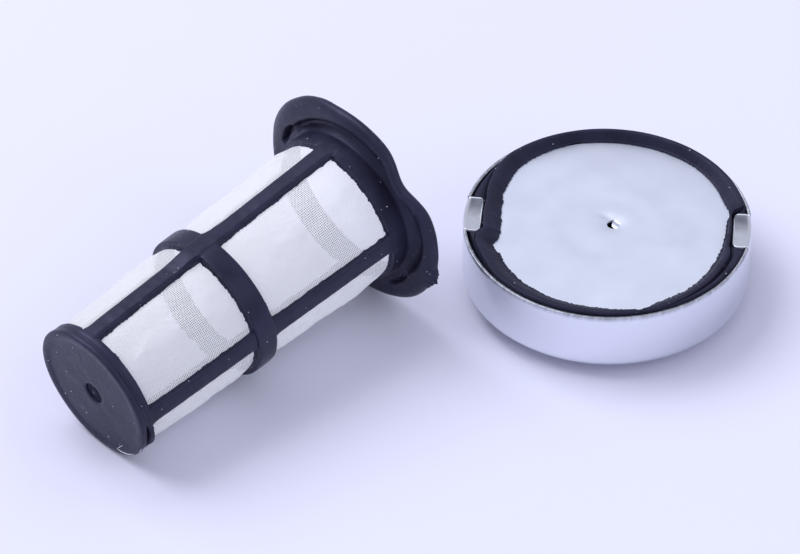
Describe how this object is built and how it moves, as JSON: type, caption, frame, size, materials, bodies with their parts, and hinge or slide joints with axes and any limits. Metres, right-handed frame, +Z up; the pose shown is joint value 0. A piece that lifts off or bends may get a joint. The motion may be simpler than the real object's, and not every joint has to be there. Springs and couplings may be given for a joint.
{
  "type": "fuel cap with strainer",
  "caption": "Bayonet fuel tank cap lying on its crown, beside the tapered filler strainer that hangs in the tank neck.",
  "frame": {"origin": "on the surface under the middle of the cap, at the centre of its crown", "axes": "+Z up, out of the cap's open side; +X along the strainer in plan, from its small end to its mouth"},
  "size_m": [0.1424, 0.0896, 0.0479],
  "materials": {
    "plated_steel": "bright plated",
    "satin_plate": "satin plated",
    "black_rubber": "matte moulded",
    "spring_steel": "rolled strip",
    "black_plastic": "matte moulded",
    "white_mesh": "woven monofilament"
  },
  "bodies": {
    "shell_and_strainer": {"cap_shell": "plated_steel", "plate_spring": "spring_steel", "strainer_frame": "black_plastic", "strainer_mesh": "white_mesh"},
    "sealing_plate": {"cap_plate": "satin_plate", "cap_gasket": "black_rubber"}
  },
  "joints": [
    {"name": "seal_press", "type": "slide", "parent": "shell_and_strainer", "child": "sealing_plate", "axis": [0, 0, -1], "range_m": [0, 0.0025], "stiffness_N_per_m": 1500, "springref_m": -0.004, "deforming": ["plate_spring"]}
  ]
}
